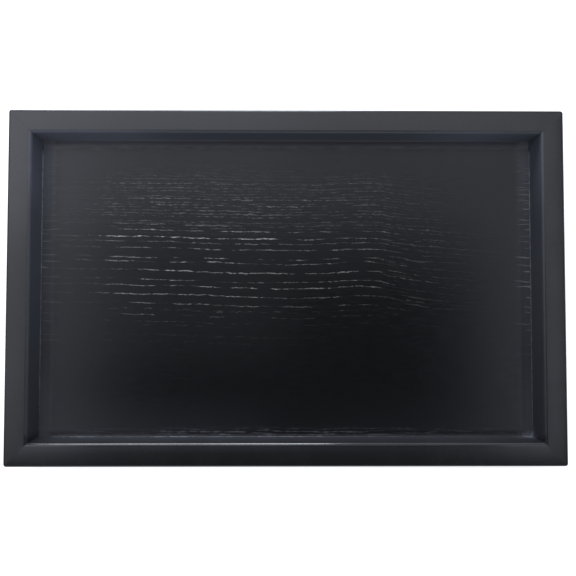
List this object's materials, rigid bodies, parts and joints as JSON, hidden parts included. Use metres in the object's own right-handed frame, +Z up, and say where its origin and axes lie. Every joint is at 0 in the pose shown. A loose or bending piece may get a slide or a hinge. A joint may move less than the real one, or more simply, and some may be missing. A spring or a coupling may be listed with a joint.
{
  "type": "serving tray",
  "caption": "Rectangular wooden serving tray with mitred black rails around a sunk veneered floor, for carrying cups and plates.",
  "frame": {"origin": "middle of the tray's outline, on the plane of the felt feet's undersides, where the tray stands", "axes": "+X along the tray's long side to the right, +Y across it to the back rail, +Z up out of the well"},
  "size_m": [0.45, 0.287, 0.03],
  "materials": {
    "rail_lacquer": "black satin lacquer on solid wood, grain filled",
    "black_ash": "black-stained open-pored ash veneer, satin lacquer, pale pores along the tray",
    "black_backing": "black-stained backing veneer, sealed, low sheen",
    "plywood": "bare rotary-cut plywood",
    "spline_beech": "bare beech, glued in",
    "felt": "black pressed wool felt"
  },
  "bodies": {
    "root": {"rail_front": "rail_lacquer", "rail_back": "rail_lacquer", "rail_left": "rail_lacquer", "rail_right": "rail_lacquer", "spline_front_left": "spline_beech", "spline_front_right": "spline_beech", "spline_back_left": "spline_beech", "spline_back_right": "spline_beech", "face_veneer": "black_ash", "upper_crossband": "plywood", "core_ply": "plywood", "lower_crossband": "plywood", "back_veneer": "black_backing", "felt_foot_front_left": "felt", "felt_foot_front_right": "felt", "felt_foot_back_left": "felt", "felt_foot_back_right": "felt"}
  },
  "joints": []
}
